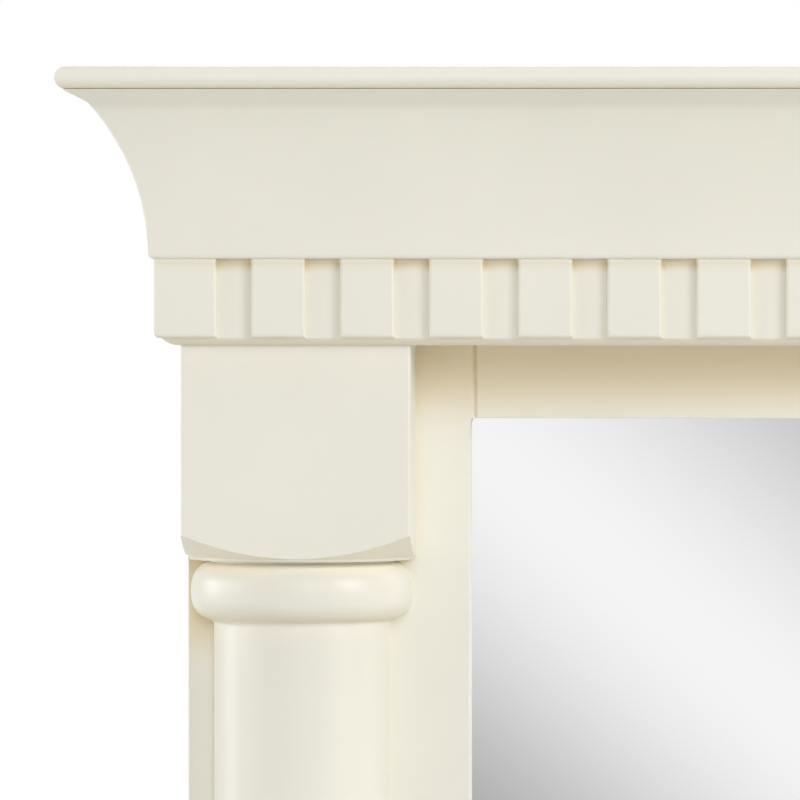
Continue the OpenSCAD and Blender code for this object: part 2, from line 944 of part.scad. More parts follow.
// A strap bent round the ring's bar, with its drilled tail flat on the stile
module hanger_strap() {
    difference() {
        intersection() {
            translate([0, pivot_y, 0])
                rotate([90, 0, 90])
                    linear_extrude(strap_w, center = true) {
                        circle(r = loop_r);
                        translate([-loop_r, -strap_screw_drop - strap_w])
                            square([strap_t, strap_screw_drop + strap_w]);
                    }
            translate([0, back_y + 2 * loop_r + cut_over, 0])
                along_return(2 * (loop_r + cut_over)) {
                    translate([0, -strap_screw_drop]) circle(r = strap_w / 2);
                    translate([-strap_w, -strap_screw_drop])
                        square([2 * strap_w, strap_screw_drop + 2 * loop_r]);
                }
        }
        translate([0, pivot_y, 0])
            rotate([0, 90, 0])
                cylinder(r = wire_r + wire_clear, h = strap_w + cut_over, center = true);
        translate([0, back_y + strap_t / 2, -strap_screw_drop])
            rotate([90, 0, 0])
                cylinder(r = screw_r + screw_clear, h = strap_t + cut_over, center = true);
    }
}

module left_hanger_strap() {
    color(zinc) translate([-hanger_x, 0, 0]) hanger_strap();
}

module right_hanger_strap() {
    color(zinc) translate([hanger_x, 0, 0]) hanger_strap();
}

// A bend of the wire in the plane of the ring, over the sweep from the start angle
module wire_bend(r, start, sweep) {
    rotate([90, 0, 0])
        rotate([0, 0, start])
            rotate_extrude(angle = sweep) translate([r, 0]) circle(r = wire_r, $fn = wire_fn);
}

// The ring hangs from its bar, which turns in the strap's loop
module hanger_ring() {
    translate([0, pivot_y, 0]) {
        rotate([0, 90, 0]) cylinder(r = wire_r, h = bar_len, center = true, $fn = wire_fn);
        for (sx = [-1, 1]) {
            translate([sx * arc_r, 0, -bend_r - leg_len]) cylinder(r = wire_r, h = leg_len, $fn = wire_fn);
        }
        translate([bar_len / 2, 0, -bend_r]) wire_bend(bend_r, 0, 90);
        translate([-bar_len / 2, 0, -bend_r]) wire_bend(bend_r, 90, 90);
        translate([0, 0, -bend_r - leg_len]) wire_bend(arc_r, 180, 180);
    }
}

module left_hanger_ring() {
    color(zinc) translate([-hanger_x, 0, 0]) hanger_ring();
}

module right_hanger_ring() {
    color(zinc) translate([hanger_x, 0, 0]) hanger_ring();
}

module pan_head() {
    edge_r = pan_head_h / 2;
    rotate_extrude() {
        square([pan_head_r, edge_r]);
        square([pan_head_r - edge_r, pan_head_h]);
        intersection() {
            translate([pan_head_r - edge_r, edge_r]) circle(r = edge_r);
            square([pan_head_r, pan_head_h]);
        }
    }
}

module hanger_screws() {
    color(zinc)
        each_hanger()
            translate([0, back_y + strap_t, -strap_screw_drop])
                rotate([-90, 0, 0])
                    difference() {
                        union() {
                            pan_head();
                            screw_shank(screw_r, hanger_screw_len);
                        }
                        translate([0, 0, pan_head_h]) cross_recess(pan_head_r, pan_head_h);
                    }
}

module wall_bumpers() {
    face_r = bumper_r - bumper_bevel;
    color(rubber)
        for (sx = [-1, 1], z = [crown_top_z - bumper_inset, base_top_z + bumper_inset]) {
            translate([sx * (frame_half - bumper_inset), 0, z])
                rotate([90, 0, 0]) {
                    cylinder(r1 = face_r, r2 = bumper_r, h = bumper_bevel);
                    translate([0, 0, bumper_bevel]) cylinder(r = bumper_r, h = wall_gap - bumper_bevel);
                }
        }
}

left_stile();
right_stile();
top_rail();
bottom_rail();
frame_dowels();
mirror_glass();
glass_cushions();
back_panel();
panel_screws();
frieze_board();
left_frieze_return();
right_frieze_return();
soffit_board();
glue_blocks();
dentil_front();
dentil_left();
dentil_right();
crown_front();
crown_left();
crown_right();
cap_board();
left_capital();
right_capital();
left_column();
right_column();
left_base_block();
right_base_block();
post_pins();
base_board();
post_screws();
cornice_screws();
base_screws();
left_hanger_strap();
right_hanger_strap();
left_hanger_ring();
right_hanger_ring();
hanger_screws();
wall_bumpers();
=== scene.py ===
import math

import bmesh
import bpy
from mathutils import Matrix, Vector


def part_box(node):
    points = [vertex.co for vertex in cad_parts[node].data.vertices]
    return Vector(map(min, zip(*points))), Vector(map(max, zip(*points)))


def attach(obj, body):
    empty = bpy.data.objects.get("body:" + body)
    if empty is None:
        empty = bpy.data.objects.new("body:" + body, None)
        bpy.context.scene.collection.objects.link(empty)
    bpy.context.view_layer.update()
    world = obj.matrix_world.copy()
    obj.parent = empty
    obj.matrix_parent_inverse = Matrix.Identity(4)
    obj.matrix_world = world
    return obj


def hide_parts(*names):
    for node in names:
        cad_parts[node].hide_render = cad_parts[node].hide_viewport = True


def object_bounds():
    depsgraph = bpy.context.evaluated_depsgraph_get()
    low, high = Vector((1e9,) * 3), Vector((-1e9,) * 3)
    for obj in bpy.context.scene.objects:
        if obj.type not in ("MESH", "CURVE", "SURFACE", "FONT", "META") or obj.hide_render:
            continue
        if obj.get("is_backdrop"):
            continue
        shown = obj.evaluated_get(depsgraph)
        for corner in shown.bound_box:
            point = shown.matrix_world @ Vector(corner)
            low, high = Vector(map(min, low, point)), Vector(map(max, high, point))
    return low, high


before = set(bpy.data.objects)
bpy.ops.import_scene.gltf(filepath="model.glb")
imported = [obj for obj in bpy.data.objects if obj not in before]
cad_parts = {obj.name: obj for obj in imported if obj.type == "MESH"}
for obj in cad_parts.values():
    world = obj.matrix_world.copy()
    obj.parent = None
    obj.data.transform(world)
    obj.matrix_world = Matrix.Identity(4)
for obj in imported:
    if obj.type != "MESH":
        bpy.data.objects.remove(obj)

bl_info = {
    "name": "Dentil cornice mirror",
    "version": (1, 0, 0),
    "blender": (4, 5, 0),
    "location": "3D View > Sidebar > Mirror",
    "description": "Finishes a framed mirror: painted wood, silvered glass, back and hanging hardware",
    "category": "Object",
}

MAIN_BODY = "mirror_frame"
WHITE = (1.0, 1.0, 1.0)

# Nodes that are finished alike
FRAME_WOOD = ("left_stile", "right_stile", "top_rail", "bottom_rail")
CORNICE_BOARDS = ("frieze_board", "left_frieze_return", "right_frieze_return", "soffit_board")
CROWN_MOULDINGS = ("crown_front", "crown_left", "crown_right")
DENTIL_MOULDINGS = ("dentil_front", "dentil_left", "dentil_right")
POST_BLOCKS = ("left_capital", "right_capital", "left_base_block", "right_base_block")
POST_SHAFTS = ("left_column", "right_column")
SCREWS = ("panel_screws", "post_screws", "cornice_screws", "base_screws", "hanger_screws")

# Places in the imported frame, in metres, from which the tints of the paint are measured
CROWN_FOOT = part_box("crown_front")[0][2]
CORNICE_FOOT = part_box("dentil_front")[0][2]
CAPITAL_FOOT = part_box("left_capital")[0][2]
OUTER_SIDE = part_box("right_stile")[1][0]
WALL_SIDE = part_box("right_stile")[1][1]

# Where the tints fade in, in metres; a pair is measured from the place or edge that its tint keeps to
CORNER_RISE = 0.003
CORNER_TOP = (-0.0016, -0.0004)
SHELTER_TOP = (-0.0127, 0.0013)
STRIP_FADE = 0.004
STRIP_FOOT = (-0.0391, -0.0211)
RIM_UPPER_EDGE = (0.0001, -0.0002)
RIM_LOWER_EDGE = (-0.0016, -0.0012)
WALL_FADE = (-0.007, -0.003)

# Openness, from 1 in the open to 0 in a slit, at which the painted shade of a recess (on turned pieces
# and blocks, painted light in the grooves) begins, and at which it is full
OPENNESS = {
    "open": (0.62, 0.12),
    "sheltered": (0.45, 0.12),
    "overhung": (0.62, 0.12),
    "turned": (0.85, 0.25),
    "block": (0.62, 0.12),
}
# Openness at which the painted corner shadow between the dentils begins and is full
CORNER_OPENNESS = (0.88, 0.68)

# How far a face is turned towards a side, as that part of its normal, where its finish begins and is full
TO_FRONT = (-0.30, -0.60)
TO_WALL = (0.6, 0.9)
DOWNWARDS = (-0.20, -0.95)
STRAIGHT_DOWN = (-0.93, -0.98)
GLASS_FRONT = (-0.9, -0.97)
GLASS_BACK = (0.9, 0.97)

# Likeness of the rounded and the flat normal where the edge wear and painted highlight begin and are full
EDGE_LIKENESS = (0.995, 0.93)

# Most that the painted recess tone and the edge wear with its painted highlight cover of the coat, and
# what is left of the painted corner shadow right under the crown
RECESS_COVER = 0.8
WEAR_AND_HIGHLIGHT_COVER = 0.75
CORNER_LEFT = 0.2

# Shaping of the copied meshes, in metres and radians
MERGE_DISTANCE = 2e-6
FLAT_ANGLE = math.radians(0.05)
ARRIS_ANGLE = math.radians(32)
SMOOTH_ANGLE = math.radians(34)
ARRIS_SEGMENTS = 3
MITRE_SLACK = 0.02
FLAT_FACE_WEIGHT = 90
SHORTEST_BOARD_ARRIS = 0.004
SHORTEST_MOULDING_ARRIS = 0.002

# Sockets of a Mix node, by number because its kinds share their names: two inputs and the result
MIX_SHARE = 0
MIX_NUMBERS = (2, 3, 0)
MIX_COLOURS = (6, 7, 2)

# Floor: the gap under the mirror in metres, and the shares of its half width over which it fades
FLOOR_GAP = 0.0004
FLOOR_FADE = (0.5, 0.98)

# Reflector card, in metres: the direction in which its bands of light follow one another, where the
# first begins and the last ends, and where all of them have faded to white
CARD_SIZE = 5.0
CARD_SLANT = (-0.643, 0.0, -0.766)
CARD_BANDS = (-0.40, 1.00)
CARD_FADE = (1.7, 2.3)
CARD_GREYS = (
    # share of the way along the bands, grey as a paint chart gives it
    (0.0, 205), (0.14, 228), (0.286, 175), (0.42, 245),
    (0.543, 162), (0.72, 214), (0.86, 186), (1.0, 205),
)

# Lamps and camera: distances in metres, the sensor in millimetres
LAMP_DISTANCE = 2.4
LAMPS = (
    # name, azimuth and elevation in degrees, width in metres, strength in watts
    ("left_strip", -100.0, 12.0, 0.9, 11.8),
    ("left_softbox", -75.0, 12.0, 0.9, 7.5),
    ("front_softbox", 0.0, 24.0, 0.9, 11.4),
    ("right_softbox", 50.0, 24.0, 0.9, 23.4),
    ("top_softbox", 0.0, 86.0, 0.9, 7.2),
    ("back_softbox", 170.0, 30.0, 1.8, 18.0),
)
SENSOR_WIDTH = 36.0
NEAREST_SEEN = 0.1
FARTHEST_SEEN = 100.0


def tone(red, green, blue):
    """A colour as a paint chart gives it, turned into the linear values that a shader takes."""
    parts = []
    for part in (red, green, blue):
        part = part / 255
        parts.append(part / 12.92 if part <= 0.04045 else ((part + 0.055) / 1.055) ** 2.4)
    return tuple(parts)


def opaque(colour):
    """The colour with the fourth value that a socket asks for."""
    return (colour[0], colour[1], colour[2], 1.0)


def shaded(colour, share):
    """The colour made darker by a share below 1, or lighter by one above it."""
    return tuple(min(1.0, part * share) for part in colour)


# Settings


class PaintSettings(bpy.types.PropertyGroup):
    colour: bpy.props.FloatVectorProperty(
        name="Paint colour", description="Cream of the open faces",
        subtype="COLOR", size=3, min=0, max=1, default=tone(233, 230, 217))
    frame_colour: bpy.props.FloatVectorProperty(
        name="Frame colour", description="Cream of the stiles and rails behind the posts",
        subtype="COLOR", size=3, min=0, max=1, default=tone(237, 234, 222))
    # Painted shade in the recesses where the mouldings meet, warmer and darker than the coat;
    # recess_reach is how far it reaches
    recess_shade_colour: bpy.props.FloatVectorProperty(
        name="Recess colour", description="Warmer cream where the mouldings meet and paint gathers",
        subtype="COLOR", size=3, min=0, max=1, default=tone(228, 210, 170))
    recess_reach: bpy.props.FloatProperty(
        name="Recess reach", description="How far a recess colours the paint",
        unit="LENGTH", default=0.010, min=0)
    # Painted light in the grooves of turned pieces and blocks and on the blocks' feet, lighter than the
    # coat
    groove_light_colour: bpy.props.FloatVectorProperty(
        name="Groove colour", description="Thick fresh coat in the turned grooves",
        subtype="COLOR", size=3, min=0, max=1, default=tone(253, 248, 233))
    # Painted shadow of the crown's foot at the tops of the dentil gaps; corner_reach is how far down it
    # reaches
    corner_shadow_colour: bpy.props.FloatVectorProperty(
        name="Corner colour", description="Tan of the inner corners between the dentils",
        subtype="COLOR", size=3, min=0, max=1, default=tone(205, 185, 140))
    corner_reach: bpy.props.FloatProperty(
        name="Corner reach", description="How far the tan between the dentils reaches below the crown",
        unit="LENGTH", default=0.0051, min=0)
    # Painted shade on the faces that look down
    underside_shade_colour: bpy.props.FloatVectorProperty(
        name="Underside colour", description="Warmer cream of the faces that look down",
        subtype="COLOR", size=3, min=0, max=1, default=tone(225, 216, 194))
    # Painted shade on the blocks' turned shoulders, which look down
    shoulder_shade_colour: bpy.props.FloatVectorProperty(
        name="Shoulder colour", description="Warmer cream of the blocks' turned shoulders",
        subtype="COLOR", size=3, min=0, max=1, default=tone(232, 225, 205))
    # Painted shade along the rim under the shoulders; rim_height sets the band's height
    rim_shade_colour: bpy.props.FloatVectorProperty(
        name="Rim colour", description="Yellowed cream along the rim under the shoulders",
        subtype="COLOR", size=3, min=0, max=1, default=tone(217, 213, 193))
    rim_height: bpy.props.FloatProperty(
        name="Rim height", description="Height of the yellowed rim above the block's foot",
        unit="LENGTH", default=0.0010, min=0)
    # Painted shade on the stiles' outer strips beside the rings; strip_width is their width
    strip_shade_colour: bpy.props.FloatVectorProperty(
        name="Strip colour", description="Yellowed cream on the stiles' outer strips beside the rings",
        subtype="COLOR", size=3, min=0, max=1, default=tone(237, 221, 187))
    strip_width: bpy.props.FloatProperty(
        name="Strip width", description="Width of the outer strips",
        unit="LENGTH", default=0.015, min=0)
    # Painted shade on the frame under the cornice; shelter_reach and shelter_full set where it ends and
    # where it is full
    shelter_shade_colour: bpy.props.FloatVectorProperty(
        name="Shelter colour", description="Cream that has yellowed in the shade of the cornice",
        subtype="COLOR", size=3, min=0, max=1, default=tone(233, 218, 188))
    shelter_reach: bpy.props.FloatProperty(
        name="Shelter reach", description="How far below the cornice the yellowing ends",
        unit="LENGTH", default=0.0327, min=0)
    shelter_full: bpy.props.FloatProperty(
        name="Full shelter", description="How far below the cornice the yellowing is full",
        unit="LENGTH", default=0.0107, min=0)
    # Painted shade right under the cornice, warmer and less dark than further down
    shelter_top_shade_colour: bpy.props.FloatVectorProperty(
        name="Shelter top colour", description="Less worn cream right under the cornice",
        subtype="COLOR", size=3, min=0, max=1, default=tone(249, 231, 198))
    # Edge wear in patches, lighter, which also paints a highlight along the arrises; arris_reach is its
    # width
    arris_wear_and_highlight_colour: bpy.props.FloatVectorProperty(
        name="Arris colour", description="Lighter cream where the sprayed coat is rubbed thin on an edge",
        subtype="COLOR", size=3, min=0, max=1, default=tone(240, 238, 228))
    arris_reach: bpy.props.FloatProperty(
        name="Arris reach", description="How far from an edge the coat is rubbed thin",
        unit="LENGTH", default=0.0012, min=0)
    bare_colour: bpy.props.FloatVectorProperty(
        name="Bare colour", description="Wood that shows through the thin coat on the wall side",
        subtype="COLOR", size=3, min=0, max=1, default=tone(203, 178, 134))
    roughness: bpy.props.FloatProperty(
        name="Roughness", description="Satin sheen of the coat", default=0.36, min=0.05, max=1)
    arris: bpy.props.FloatProperty(
        name="Arris radius", description="Softening of the wood's edges under the paint",
        unit="LENGTH", default=0.0005, min=0.0001, max=0.002)


class WoodSettings(bpy.types.PropertyGroup):
    pine: bpy.props.FloatVectorProperty(
        name="Pine colour", description="Early wood of the bare pieces",
        subtype="COLOR", size=3, min=0, max=1, default=tone(224, 193, 144))
    pine_ring: bpy.props.FloatVectorProperty(
        name="Ring colour", description="Late wood of the bare pieces",
        subtype="COLOR", size=3, min=0, max=1, default=tone(189, 146, 92))
    pine_fibre: bpy.props.FloatVectorProperty(
        name="Pine fibre colour", description="Fine dark fibres of the bare pieces",
        subtype="COLOR", size=3, min=0, max=1, default=tone(160, 118, 70))
    board: bpy.props.FloatVectorProperty(
        name="Hardboard colour", description="Smooth face of the back panel",
        subtype="COLOR", size=3, min=0, max=1, default=tone(124, 90, 60))
    board_mottle: bpy.props.FloatVectorProperty(
        name="Mottle colour", description="Paler patches of the back panel",
        subtype="COLOR", size=3, min=0, max=1, default=tone(146, 110, 76))
    board_fibre: bpy.props.FloatVectorProperty(
        name="Fibre colour", description="Dark fibres of the back panel",
        subtype="COLOR", size=3, min=0, max=1, default=tone(84, 57, 36))
    board_speck: bpy.props.FloatVectorProperty(
        name="Speck colour", description="Pale chips in the back panel",
        subtype="COLOR", size=3, min=0, max=1, default=tone(182, 150, 112))


class GlassSettings(bpy.types.PropertyGroup):
    silver: bpy.props.FloatVectorProperty(
        name="Silver colour", description="Silvering seen through the glass",
        subtype="COLOR", size=3, min=0, max=1, default=tone(255, 255, 255))
    edge: bpy.props.FloatVectorProperty(
        name="Edge colour", description="Ground edge of the glass",
        subtype="COLOR", size=3, min=0, max=1, default=tone(120, 150, 138))
    backing: bpy.props.FloatVectorProperty(
        name="Backing colour", description="Protective paint on the back of the glass",
        subtype="COLOR", size=3, min=0, max=1, default=tone(96, 100, 104))
    arris: bpy.props.FloatProperty(
        name="Ground arris", description="Softening of the glass's edges",
        unit="LENGTH", default=0.0004, min=0.0001, max=0.001)


class HardwareSettings(bpy.types.PropertyGroup):
    plate: bpy.props.FloatVectorProperty(
        name="Plate colour", description="Zinc plate on the hangers and screws",
        subtype="COLOR", size=3, min=0, max=1, default=tone(196, 199, 203))
    plate_spot: bpy.props.FloatVectorProperty(
        name="Spot colour", description="Dull spots on the zinc plate",
        subtype="COLOR", size=3, min=0, max=1, default=tone(206, 196, 168))
    rubber: bpy.props.FloatVectorProperty(
        name="Rubber colour", description="Wall bumpers",
        subtype="COLOR", size=3, min=0, max=1, default=tone(46, 46, 47))
    foam: bpy.props.FloatVectorProperty(
        name="Foam colour", description="Cushions behind the glass",
        subtype="COLOR", size=3, min=0, max=1, default=tone(222, 221, 214))


class StageSettings(bpy.types.PropertyGroup):
    floor_colour: bpy.props.FloatVectorProperty(
        name="Floor colour", description="Plain pale floor",
        subtype="COLOR", size=3, min=0, max=1, default=tone(236, 236, 234))
    floor_half: bpy.props.FloatProperty(
        name="Half floor", description="Half the floor's width", unit="LENGTH", default=2.4)
    camera_place: bpy.props.FloatVectorProperty(
        name="Camera", description="Where the photograph was taken from",
        subtype="TRANSLATION", unit="LENGTH", size=3, default=(-0.0448, -4.3397, 0.1502))
    camera_aim: bpy.props.FloatVectorProperty(
        name="Camera aim", description="Direction of the photograph's middle",
        size=3, default=(-0.600, 12.0, -0.250))
    lens: bpy.props.FloatProperty(
        name="Lens", description="Focal length on a 36 mm sensor", unit="CAMERA", default=540.0)
    card_distance: bpy.props.FloatProperty(
        name="Card distance", description="Reflector card in front of the glass",
        unit="LENGTH", default=1.5)
    dome: bpy.props.FloatProperty(
        name="Dome level", description="Even light from all round", default=0.39, min=0)


# Shaping


def clear_selection():
    bpy.ops.object.select_all(action="DESELECT")


def copied(node, piece_name):
    """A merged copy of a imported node, alone selected, with its own mesh at the origin."""
    clear_selection()
    piece = bpy.data.objects.new(piece_name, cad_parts[node].data.copy())
    bpy.context.scene.collection.objects.link(piece)
    piece.data.name = piece_name
    piece.select_set(True)
    bpy.context.view_layer.objects.active = piece
    bpy.ops.mesh.customdata_custom_splitnormals_clear()
    bpy.ops.object.mode_set(mode="EDIT")
    bpy.ops.mesh.select_all(action="SELECT")
    bpy.ops.mesh.remove_doubles(threshold=MERGE_DISTANCE)
    bpy.ops.mesh.dissolve_limited(angle_limit=FLAT_ANGLE, use_dissolve_boundaries=False)
    bpy.ops.mesh.select_all(action="DESELECT")
    bpy.ops.object.mode_set(mode="OBJECT")
    if not piece.data.polygons:
        raise RuntimeError("nothing left of " + node)
    return piece


def is_mitre(face):
    """True on a face that lies in the cornice's corner mitre."""
    normal = face.normal
    return abs(abs(normal.x) - abs(normal.y)) < MITRE_SLACK and abs(normal.z) < MITRE_SLACK


def is_arris(edge, shortest):
    """True on an outer edge that shows: sharp, in no mitre and not shorter than shortest."""
    if len(edge.link_faces) != 2 or not edge.is_convex:
        return False
    if edge.calc_length() < shortest or edge.calc_face_angle() < ARRIS_ANGLE:
        return False
    return not any(is_mitre(face) for face in edge.link_faces)


def soften_arrises(piece, radius, shortest):
    """Rounds the outer edges that show."""
    bpy.ops.object.mode_set(mode="EDIT")
    bpy.ops.mesh.select_mode(type="EDGE")
    shape = bmesh.from_edit_mesh(piece.data)
    shape.normal_update()
    for edge in shape.edges:
        edge.select = is_arris(edge, shortest)
    some_chosen = any(edge.select for edge in shape.edges)
    bmesh.update_edit_mesh(piece.data)
    if some_chosen:
        bpy.ops.mesh.bevel(offset=radius, offset_type="OFFSET", segments=ARRIS_SEGMENTS, profile=0.5,
                           affect="EDGES", clamp_overlap=False, miter_outer="SHARP")
    bpy.ops.mesh.select_all(action="DESELECT")
    bpy.ops.object.mode_set(mode="OBJECT")


def smooth(piece):
    """Smooth shading with flat faces kept flat beside their rounded edges."""
    clear_selection()
    piece.select_set(True)
    bpy.context.view_layer.objects.active = piece
    bpy.ops.object.shade_smooth_by_angle(angle=SMOOTH_ANGLE)
    weight = piece.modifiers.new("Even faces", "WEIGHTED_NORMAL")
    weight.mode = "FACE_AREA"
    weight.weight = FLAT_FACE_WEIGHT
    weight.keep_sharp = True
    bpy.ops.object.modifier_apply(modifier=weight.name)


def dress(piece, material):
    """Gives a piece its one material."""
    piece.data.materials.clear()
    piece.data.materials.append(material)


def stands_for(piece, node, material):
    """The finished piece rides where its node rides and is shown in its place."""
    dress(piece, material)
    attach(piece, MAIN_BODY)
    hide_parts(node)


def painted(node, coat, radius=0.0, shortest=SHORTEST_BOARD_ARRIS):
    """A painted copy. Without a radius its edges stay as the CAD has rounded them."""
    piece = copied(node, node + "_painted")
    if radius:
        soften_arrises(piece, radius, shortest)
    smooth(piece)
    stands_for(piece, node, paint_material(coat))


# Shader nodes


def add(tree, kind, values=None, **facts):
    """A shader node with its socket values and its settings."""
    node = tree.nodes.new(kind)
    for name, value in facts.items():
        setattr(node, name, value)
    for socket, value in (values or {}).items():
        node.inputs[socket].default_value = value
    return node


def feed(tree, socket, value):
    """Gives a socket another node's output, a number or a colour."""
    if isinstance(value, bpy.types.NodeSocket):
        tree.links.new(value, socket)
    elif isinstance(value, (int, float)):
        socket.default_value = value
    else:
        socket.default_value = opaque(value)


def blank_material(name):
    """A material without shaders, its tree and the socket that its surface goes into."""
    material = bpy.data.materials.new(name)
    material.use_nodes = True
    tree = material.node_tree
    tree.nodes.clear()
    output = add(tree, "ShaderNodeOutputMaterial")
    return material, tree, output.inputs["Surface"]


def new_material(name):
    """A material, its tree and the principled shader that is its surface."""
    material, tree, surface = blank_material(name)
    shader = add(tree, "ShaderNodeBsdfPrincipled")
    feed(tree, surface, shader.outputs["BSDF"])
    return material, tree, shader


def stretched(tree, scale=(1, 1, 1), location=(0, 0, 0), rotation=(0, 0, 0)):
    """Object coordinates, stretched so that a pattern runs along the piece."""
    place = add(tree, "ShaderNodeTexCoord")
    values = {"Scale": scale, "Location": location, "Rotation": rotation}
    mapping = add(tree, "ShaderNodeMapping", values)
    feed(tree, mapping.inputs["Vector"], place.outputs["Object"])
    return mapping.outputs["Vector"]


def parts_of(tree, vector):
    """The X, Y and Z outputs of a vector."""
    split = add(tree, "ShaderNodeSeparateXYZ")
    feed(tree, split.inputs["Vector"], vector)
    return split.outputs


def noise(tree, vector, scale, detail=3.0, roughness=0.5, distortion=0.0):
    """Random patches from 0 to 1, scale of them to the metre."""
    values = {"Scale": scale, "Detail": detail, "Roughness": roughness, "Distortion": distortion}
    node = add(tree, "ShaderNodeTexNoise", values)
    feed(tree, node.inputs["Vector"], vector)
    return node.outputs["Fac"]


def spread(tree, value, low, high, to=(0.0, 1.0), eased=False):
    """The value's range from low to high, spread over the range to, and held there beyond it."""
    values = {"From Min": low, "From Max": high, "To Min": to[0], "To Max": to[1]}
    kind = "SMOOTHSTEP" if eased else "LINEAR"
    node = add(tree, "ShaderNodeMapRange", values, clamp=True, interpolation_type=kind)
    feed(tree, node.inputs["Value"], value)
    return node.outputs["Result"]


def band(tree, value, origin, ends, to=(0.0, 1.0), eased=False):
    """The same over a range whose two ends are measured from an origin."""
    return spread(tree, value, origin + ends[0], origin + ends[1], to, eased)


def maths(tree, operation, first, second=0.0):
    """Two numbers or outputs worked into one."""
    node = add(tree, "ShaderNodeMath", operation=operation)
    feed(tree, node.inputs[0], first)
    feed(tree, node.inputs[1], second)
    return node.outputs["Value"]


def product(tree, first, *others):
    """All the shares multiplied."""
    for other in others:
        first = maths(tree, "MULTIPLY", first, other)
    return first


def mixed(tree, share, first, second, blend="MIX"):
    """Two colours mixed by a share of the second."""
    node = add(tree, "ShaderNodeMix", data_type="RGBA", blend_type=blend)
    feed(tree, node.inputs[MIX_SHARE], share)
    feed(tree, node.inputs[MIX_COLOURS[0]], first)
    feed(tree, node.inputs[MIX_COLOURS[1]], second)
    return node.outputs[MIX_COLOURS[2]]


def mixed_numbers(tree, share, first, second):
    """Two numbers mixed by a share of the second."""
    node = add(tree, "ShaderNodeMix", data_type="FLOAT")
    feed(tree, node.inputs[MIX_SHARE], share)
    feed(tree, node.inputs[MIX_NUMBERS[0]], first)
    feed(tree, node.inputs[MIX_NUMBERS[1]], second)
    return node.outputs[MIX_NUMBERS[2]]


def bumped(tree, height, strength, distance, below=None):
    """The normal over a fine relief, on top of another relief where one is given."""
    node = add(tree, "ShaderNodeBump", {"Strength": strength, "Distance": distance})
    feed(tree, node.inputs["Height"], height)
    if below is not None:
        feed(tree, node.inputs["Normal"], below)
    return node.outputs["Normal"]


# Paint


def cloudy_cream(tree, here, cream):
    """The open coat, a little deeper and lighter from place to place."""
    cloud = noise(tree, here, scale=7.0, detail=4.0, roughness=0.55)
    return mixed(tree, spread(tree, cloud, 0.35, 0.65), shaded(cream, 0.972), shaded(cream, 1.02))


def painted_shelter_shade(tree, coat, at, facing):
    """Painted shade on the front faces under the cornice, and on the outer strips beside the rings."""
    look = bpy.context.scene.mirror_paint
    front = spread(tree, facing["Y"], *TO_FRONT)
    shade = band(tree, at["Z"], CORNICE_FOOT, (-look.shelter_reach, -look.shelter_full), eased=True)
    coat = mixed(tree, product(tree, shade, front), coat, look.shelter_shade_colour)
    shade = band(tree, at["Z"], CORNICE_FOOT, SHELTER_TOP, eased=True)
    coat = mixed(tree, product(tree, shade, front), coat, look.shelter_top_shade_colour)
    from_middle = maths(tree, "ABSOLUTE", at["X"])
    side = band(tree, from_middle, OUTER_SIDE - look.strip_width, (0.0, STRIP_FADE))
    beside_ring = band(tree, at["Z"], CAPITAL_FOOT, STRIP_FOOT)
    return mixed(tree, product(tree, side, beside_ring, front), coat, look.strip_shade_colour)


def painted_corner_shadow(tree, coat, at, openness):
    """Painted shadow of the crown's foot: tan at the tops of the inner corners between the dentils."""
    look = bpy.context.scene.mirror_paint
    foot = CROWN_FOOT - look.corner_reach
    corner = product(tree, spread(tree, openness, *CORNER_OPENNESS),
                     band(tree, at["Z"], foot, (0.0, CORNER_RISE)),
                     band(tree, at["Z"], CROWN_FOOT, CORNER_TOP, to=(1.0, CORNER_LEFT)))
    return mixed(tree, corner, coat, look.corner_shadow_colour)


def worn_and_highlit_arrises(tree, coat, here, rounded):
    """Edges where the coat is rubbed thin in patches, made lighter, which also paints a highlight along
    them.
    """
    look = bpy.context.scene.mirror_paint
    flat = add(tree, "ShaderNodeNewGeometry")
    slant = add(tree, "ShaderNodeVectorMath", operation="DOT_PRODUCT")
    feed(tree, slant.inputs[0], rounded)
    feed(tree, slant.inputs[1], flat.outputs["Normal"])
    edge = spread(tree, slant.outputs["Value"], *EDGE_LIKENESS, to=(0.0, WEAR_AND_HIGHLIGHT_COVER))
    patchy = spread(tree, noise(tree, here, scale=55.0, roughness=0.6), 0.35, 0.7)
    return mixed(tree, product(tree, edge, patchy), coat, look.arris_wear_and_highlight_colour)


def painted_rim_shade_and_foot_light(tree, coat, at, facing):
    """Painted shade along the block's rim, and painted light on its foot in the light cream of the
    grooves.
    """
    look = bpy.context.scene.mirror_paint
    rim_top = CAPITAL_FOOT + look.rim_height
    rim = product(tree, band(tree, at["Z"], rim_top, RIM_UPPER_EDGE),
                  band(tree, at["Z"], rim_top, RIM_LOWER_EDGE))
    coat = mixed(tree, rim, coat, look.rim_shade_colour)
    return mixed(tree, spread(tree, facing["Z"], *STRAIGHT_DOWN), coat, look.groove_light_colour)


def wall_side(tree, at, facing):
    """The share of the faces that stand on the wall."""
    return product(tree, spread(tree, facing["Y"], *TO_WALL), band(tree, at["Y"], WALL_SIDE, WALL_FADE))


def thin_coat(tree, coat, rear):
    """Grain that shows through on the wall side."""
    look = bpy.context.scene.mirror_paint
    grain = noise(tree, stretched(tree, (160.0, 160.0, 6.0)), scale=1.0, detail=4.0, roughness=0.6,
                  distortion=0.6)
    thin = product(tree, rear, spread(tree, grain, 0.38, 0.72, to=(0.05, 0.55)))
    return mixed(tree, thin, coat, look.bare_colour)


